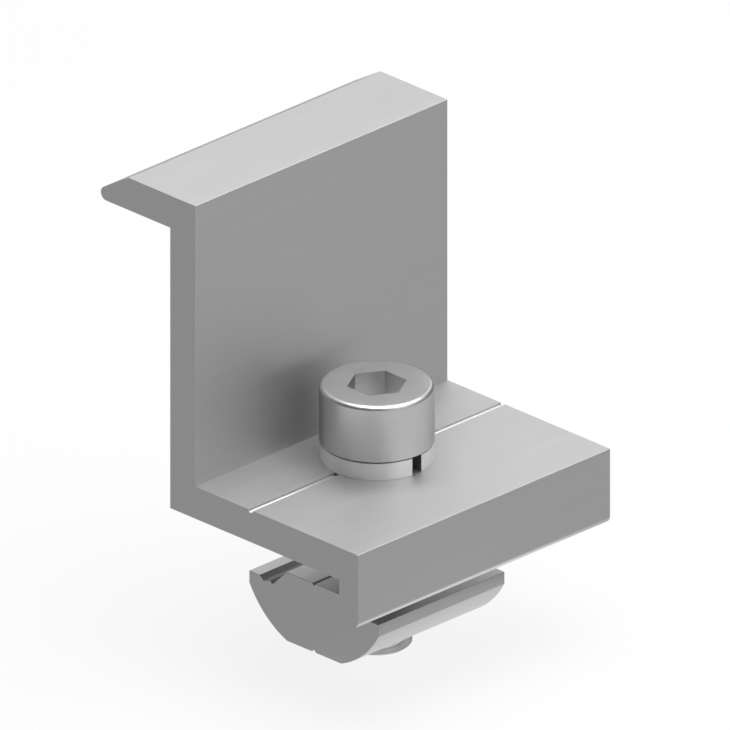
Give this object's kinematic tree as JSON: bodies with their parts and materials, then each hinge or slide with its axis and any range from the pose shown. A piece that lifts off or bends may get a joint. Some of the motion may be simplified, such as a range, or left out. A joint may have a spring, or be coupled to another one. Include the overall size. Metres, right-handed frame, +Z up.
{
  "type": "solar module end clamp",
  "caption": "Z-shaped aluminium end clamp for framed solar modules, with a socket head cap screw, a split lock washer and a toothed nut for the rail's slot.",
  "frame": {"origin": "on the screw's axis, in the plane of the rail's top face, where the clamp's foot stands", "axes": "+Z up along the screw's axis towards its head; -X towards the module and the lip, +X towards the foot; Y along the rail and along both extrusions"},
  "size_m": [0.0408, 0.04, 0.0576],
  "materials": {
    "clamp_aluminium": "plain extruded aluminium, satin, with sawn ends",
    "nut_aluminium": "plain extruded aluminium, satin, with sawn ends",
    "screw_steel": "stainless steel, cold headed, smooth",
    "washer_steel": "stainless spring steel, tumbled"
  },
  "bodies": {
    "clamp": {"clamp_body": "clamp_aluminium", "lock_washer": "washer_steel"},
    "screw": {"cap_screw": "screw_steel"},
    "nut": {"slot_nut": "nut_aluminium"}
  },
  "joints": [
    {"name": "screw_turn", "type": "hinge", "parent": "clamp", "child": "screw", "pos_m": [0, 0, 0], "axis": [0, 0, 1], "range_deg": [-2390, 576]},
    {"name": "nut_travel", "type": "slide", "parent": "clamp", "child": "nut", "axis": [0, 0, 1], "range_m": [-0.002, 0.0083]}
  ],
  "couplings": [
    {"joint": "nut_travel", "follows": "screw_turn", "m_per_rad": -0.00019894}
  ]
}
